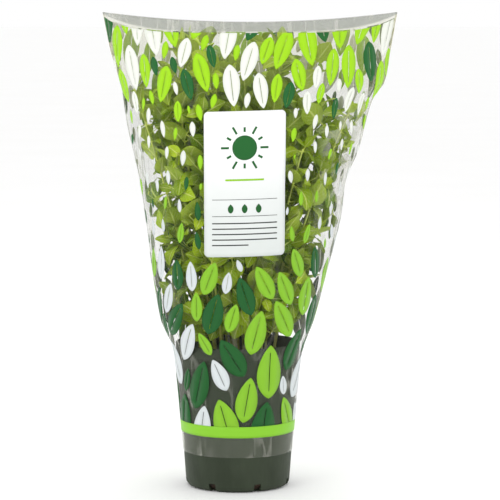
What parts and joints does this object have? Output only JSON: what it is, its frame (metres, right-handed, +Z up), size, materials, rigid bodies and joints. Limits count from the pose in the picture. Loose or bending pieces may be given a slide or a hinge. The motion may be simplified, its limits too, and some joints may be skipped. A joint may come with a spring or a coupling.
{
  "type": "potted oregano plant",
  "caption": "Leafy herb plant in a small round nursery pot, inside a clear tapered sleeve that is printed with leaf shapes and open at the top.",
  "frame": {"origin": "on the floor, under the middle of the pot", "axes": "+Z up along the pot's axis, -Y towards the sleeve's front with the blank panel, +X to the right seen from the front"},
  "size_m": [0.2474, 0.1338, 0.3994],
  "materials": {
    "pot_plastic": "matt moulded dark olive",
    "compost": "damp crumbly peat compost",
    "film": "clear glossy film printed in white, lime and dark green",
    "foliage": "soft matt leaf green"
  },
  "bodies": {
    "root": {"pot": "pot_plastic", "compost": "compost", "sleeve": "film", "stem_01": "foliage", "stem_02": "foliage", "stem_03": "foliage", "stem_04": "foliage", "stem_05": "foliage", "stem_06": "foliage", "stem_07": "foliage", "stem_08": "foliage", "stem_09": "foliage", "stem_10": "foliage", "stem_11": "foliage", "stem_12": "foliage", "stem_13": "foliage", "stem_14": "foliage", "stem_15": "foliage", "stem_16": "foliage", "stem_17": "foliage", "stem_18": "foliage", "stem_19": "foliage", "stem_20": "foliage", "stem_21": "foliage", "stem_22": "foliage", "stem_23": "foliage", "stem_24": "foliage", "stem_25": "foliage", "stem_26": "foliage", "stem_27": "foliage", "stem_28": "foliage", "stem_29": "foliage", "stem_30": "foliage"}
  },
  "joints": []
}
